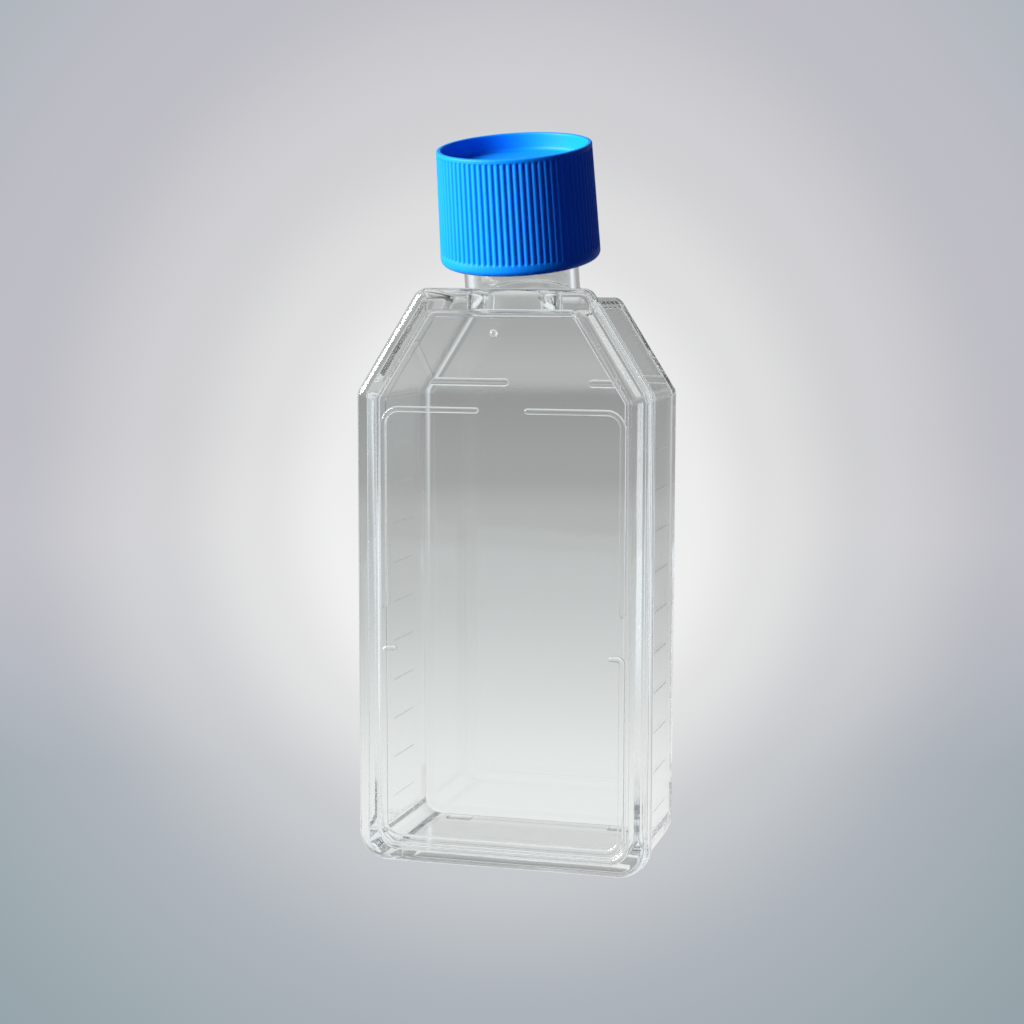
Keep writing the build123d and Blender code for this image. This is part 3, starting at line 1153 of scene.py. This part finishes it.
@dataclass(frozen=True)
class Cyclorama:
    """Pale floor that curves up into a wall all round, in metres.

    Its paint shows a painted pool of light with painted shade towards the lower corners, laid out
    over the frame of one view, rest. In other views that painted light and shade are drawn out over
    the floor and the wall. Clear and glossy pieces show a second set of tones for the same view, a
    painted falloff of light. To rays that clear pieces bend it is painted bright at the sides and
    overhead: to_left, to_right and upwards are the slope and the offset of that brightness over the
    way to each. shadow_share is the share of the paint that takes the lamps' light and the object's
    shadow, and the rest shines by itself.
    """

    floor_radius: float = 0.9
    curve_radius: float = 0.7
    wall_top: float = 2.4
    drop: float = 0.0002
    steps: int = 96
    shadow_share: float = 0.07
    # Painted light that rays bent by clear pieces find at the sides and overhead.
    painted_side_light: Colour = (0.93, 0.96, 1.0)
    bounce: Colour = (0.02, 0.018, 0.15)
    # Painted shade towards the lower corners of the rest view.
    painted_corner_shade: Colour = (0.29, 0.36, 0.39)
    to_left: tuple[float, float] = (-4.0, -0.9)
    to_right: tuple[float, float] = (3.0, -1.1)
    upwards: tuple[float, float] = (-5.0, -1.0)
    first_ring: float = 0.02
    bend_steps: int = 24
    rest: RestView = field(default_factory=RestView)

    def outline(self) -> list[Vector]:
        """Points of the profile from the middle of the floor to the wall's top."""
        rings = int((self.floor_radius / self.first_ring) ** 0.5) + 1
        points = [Vector((self.first_ring * i ** 2, 0.0, -self.drop)) for i in range(rings)]
        for i in range(self.bend_steps + 1):
            angle = math.radians(90.0 * i / self.bend_steps)
            points.append(Vector((
                self.floor_radius + self.curve_radius * math.sin(angle), 0.0,
                -self.drop + self.curve_radius * (1.0 - math.cos(angle)))))
        points.append(Vector((self.floor_radius + self.curve_radius, 0.0, self.wall_top)))
        return points

    def seen(self, sheet: NodeSheet, up: Socket, off: Socket) -> Socket:
        """Colour of the paint as the camera sees it with nothing in front, with light and shade painted in.

        Args:
            sheet: The material's nodes.
            up: How far a point lies over the middle of the rest view, 1 at the frame's top.
            off: How far it lies off the middle in any direction, in the same measure.

        Returns:
            The colour's socket.
        """
        # Painted pool of light: brightest in the middle of the rest view, falling off outwards.
        glow = sheet.ramp(sheet.maths("MULTIPLY", off, 0.5), [
            (0.0, grey(0.90)), (0.17, grey(0.88)), (0.25, grey(0.77)), (0.35, (0.66, 0.66, 0.68)),
            (0.5, (0.54, 0.535, 0.585)), (0.7, (0.45, 0.49, 0.53)), (1.0, (0.42, 0.46, 0.50))])
        # Painted shade where a point lies low and far off the middle of the rest view.
        outer = sheet.maths("MULTIPLY_ADD", off, 1.0, -0.45, clamp=True)
        low = sheet.maths("MULTIPLY_ADD", up, -2.2, -0.1, clamp=True)
        return sheet.blend(sheet.maths("MULTIPLY", outer, low), glow, self.painted_corner_shade)

    def through(self, sheet: NodeSheet, across: Socket, behind: Socket, bent: Socket) -> Socket:
        """Colour of the paint as clear and glossy pieces show it, which isn't its own colour.

        A dim wall stands over a pale floor, and the stops paint a falloff of light over them: pale on
        the floor near the middle and mostly dimmer further out, with one lighter band. The stops follow
        the slope down from the camera's place and are set for the tones that clear pieces have in the
        rest view, so other views show other tones. Rays that the clear pieces bend far to a side or
        upwards find painted light there.

        Args:
            sheet: The material's nodes.
            across: How far a point lies to the side of the rest view's middle, 1 at the frame's edge.
            behind: 1 in front of the camera's place and 0 behind it.
            bent: 1 for rays that came through a clear piece.

        Returns:
            The colour's socket.
        """
        flat = sheet.add("SeparateXYZ")
        sheet.feed(flat.inputs[0], sheet.add("TexCoord").outputs["Object"])
        squares = [sheet.maths("MULTIPLY", flat.outputs[axis], flat.outputs[axis]) for axis in "XY"]
        radius = sheet.maths("SQRT", sheet.maths("ADD", *squares))
        dip = sheet.maths("DIVIDE", sheet.maths("SUBTRACT", self.rest.place.z, flat.outputs["Z"]),
                          sheet.maths("ADD", radius, self.rest.place.to_2d().length))
        # Painted falloff of light: pale near the middle of the floor, mostly dimmer further out.
        straight = sheet.ramp(sheet.maths("MULTIPLY_ADD", dip, 3.0, 0.05, clamp=True), [
            (0.0, grey(0.34)), (0.13, grey(0.407)), (0.18, grey(0.48)), (0.205, grey(0.47)),
            (0.22, grey(0.326)), (0.257, grey(0.345)), (0.30, grey(0.372)), (0.342, grey(0.385)),
            (0.384, grey(0.47)), (0.427, grey(0.488)), (0.512, grey(0.545)), (0.555, grey(0.59)),
            (0.641, grey(0.715)), (0.728, grey(0.825)), (0.80, grey(0.88)), (1.0, grey(0.92))],
            smooth=False)
        # Painted light at the sides and overhead, for rays that clear pieces bend.
        turned = sheet.maths("MULTIPLY", across, math.tan(self.rest.half))
        left = sheet.maths("MULTIPLY_ADD", turned, *self.to_left, clamp=True)
        right = sheet.maths("MULTIPLY_ADD", turned, *self.to_right, clamp=True)
        over = sheet.maths("MULTIPLY_ADD", dip, *self.upwards, clamp=True)
        around = sheet.maths("MAXIMUM", sheet.maths("MAXIMUM", left, right), over)
        bright = sheet.maths("MULTIPLY", around, bent)
        return sheet.blend(sheet.maths("MULTIPLY", bright, behind), straight, self.painted_side_light)

    def material(self) -> bpy.types.Material:
        """Makes the painted surface, which takes a faint part of the object's shadow."""
        made = bpy.data.materials.new("studio_paint")
        made.use_nodes = True
        sheet = NodeSheet(made.node_tree)
        mapping = sheet.add("Mapping", vector_type="TEXTURE")
        sheet.feed(mapping.inputs["Location"], self.rest.place)
        sheet.feed(mapping.inputs["Rotation"], self.rest.turn().to_euler())
        sheet.feed(mapping.inputs["Vector"], sheet.add("TexCoord").outputs["Object"])
        local = sheet.add("SeparateXYZ")
        sheet.feed(local.inputs[0], mapping.outputs[0])
        depth = sheet.maths("MAXIMUM", sheet.maths("MULTIPLY", local.outputs["Z"], -1.0), 0.001)
        reach = sheet.maths("MULTIPLY", depth, math.tan(self.rest.half))
        across = sheet.maths("DIVIDE", local.outputs["X"], reach)
        up = sheet.maths("DIVIDE", local.outputs["Y"], reach)
        behind = sheet.maths("LESS_THAN", local.outputs["Z"], 0.0)
        squeezed = sheet.maths("MINIMUM", up, sheet.maths("MULTIPLY", up, 0.88))
        squares = sheet.maths("ADD", sheet.maths("MULTIPLY", across, across),
                              sheet.maths("MULTIPLY", squeezed, squeezed))
        off = sheet.maths("MINIMUM", sheet.maths("SQRT", squares), 2.0)
        path = sheet.add("LightPath")
        deep = sheet.maths("MAXIMUM", path.outputs[Ray.TRANSMITTED.value], path.outputs[Ray.GLOSSY.value])
        through = self.through(sheet, across, behind, path.outputs[Ray.TRANSMITTED.value])
        colour = sheet.blend(deep, self.seen(sheet, up, off), through)
        lit = sheet.maths("MAXIMUM", deep, path.outputs[Ray.CAMERA.value])
        glowing = sheet.add("Emission")
        sheet.feed(glowing.inputs["Color"], colour)
        paint = sheet.add("BsdfDiffuse")
        sheet.feed(paint.inputs["Color"], sheet.blend(path.outputs[Ray.DIFFUSE.value], colour, self.bounce))
        share = sheet.maths("MAXIMUM", sheet.maths("MULTIPLY", lit, 1.0 - self.shadow_share), deep)
        mix = sheet.add("MixShader")
        sheet.feed(mix.inputs[0], share)
        sheet.feed(mix.inputs[1], paint.outputs[0])
        sheet.feed(mix.inputs[2], glowing.outputs[0])
        sheet.feed(sheet.add("OutputMaterial").inputs[0], mix.outputs[0])
        return made

    def build(self) -> bpy.types.Object:
        """Makes the stage and returns it."""
        work = bmesh.new()
        points = [work.verts.new(p) for p in self.outline()]
        edges = [work.edges.new(pair) for pair in zip(points, points[1:])]
        bmesh.ops.spin(work, geom=points + edges, axis=(0, 0, 1), cent=(0, 0, 0),
                       angle=2 * math.pi, steps=self.steps, use_merge=True)
        bmesh.ops.remove_doubles(work, verts=work.verts, dist=1e-6)
        for face in work.faces:
            face.smooth = True
            if face.normal.dot(Vector((0, 0, 1.0)) - face.calc_center_median()) < 0:
                face.normal_flip()
        mesh = bpy.data.meshes.new("cyclorama")
        work.to_mesh(mesh)
        work.free()
        stage = bpy.data.objects.new("cyclorama", mesh)
        bpy.context.scene.collection.objects.link(stage)
        mesh.materials.append(self.material())
        return stage


@dataclass(frozen=True)
class StudioAir:
    """The dim bluish light of the room.

    The camera and clear pieces see it in another colour, as bright as the stage's sides.
    """

    colour: Colour = (0.55, 0.7, 1.0)
    level: float = 0.08
    shown: Colour = (0.93, 0.96, 1.0)

    def build(self) -> bpy.types.World:
        """Makes the scene's world and returns it."""
        world = bpy.data.worlds.new("studio_air")
        bpy.context.scene.world = world
        world.use_nodes = True
        sheet = NodeSheet(world.node_tree)
        path = sheet.add("LightPath")
        dim, shown = sheet.add("Background"), sheet.add("Background")
        sheet.feed(dim.inputs["Color"], (*self.colour, 1.0))
        sheet.feed(dim.inputs["Strength"], self.level)
        sheet.feed(shown.inputs["Color"], (*self.shown, 1.0))
        seen = sheet.maths("MAXIMUM", path.outputs[Ray.CAMERA.value], path.outputs[Ray.TRANSMITTED.value])
        mix = sheet.add("MixShader")
        sheet.feed(mix.inputs[0], seen)
        sheet.feed(mix.inputs[1], dim.outputs[0])
        sheet.feed(mix.inputs[2], shown.outputs[0])
        sheet.feed(sheet.add("OutputWorld").inputs[0], mix.outputs[0])
        return world


def main() -> None:
    """Builds the studio, the camera, every finish and every piece, in order."""
    logging.basicConfig(level=logging.INFO, format="%(name)s: %(message)s")
    scene = bpy.context.scene
    scene.view_settings.view_transform = "Standard"
    scene.cycles.max_bounces = BOUNCES
    scene.cycles.transmission_bounces = BOUNCES
    scene.cycles.glossy_bounces = BOUNCES
    scene.cycles.caustics_refractive = False
    scene.cycles.caustics_reflective = False
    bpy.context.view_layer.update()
    surface = moulded_surface()
    Viewpoint().build()
    Cyclorama().build()
    for lamp in (
        SoftBox("key", place=(-0.71, -0.48, 0.38), width=0.65, height=0.5, watts=28.0),
        SoftBox("fill", place=(0.55, -0.75, 0.6), width=0.6, height=0.6, watts=0.2),
        SoftBox("top", place=(-0.2, 0.1, 1.1), width=0.5, height=0.5, watts=0.6),
    ):
        lamp.build()
    StudioAir().build()
    clear = ClearPlastic("clear_polystyrene").material(surface)
    blue = CapPlastic("blue_polyethylene").material(surface)
    Tray("tray_shell", ("flask_body",), "flask", "clear_tray", clear).build()
    CoverWindow("cover_window", ("cover_plate",), "flask", "clear_cover", clear).build()
    ScrewCap("screw_cap", ("cap",), "cap", "cap_blue", blue).build()


if __name__ == "__main__":
    main()
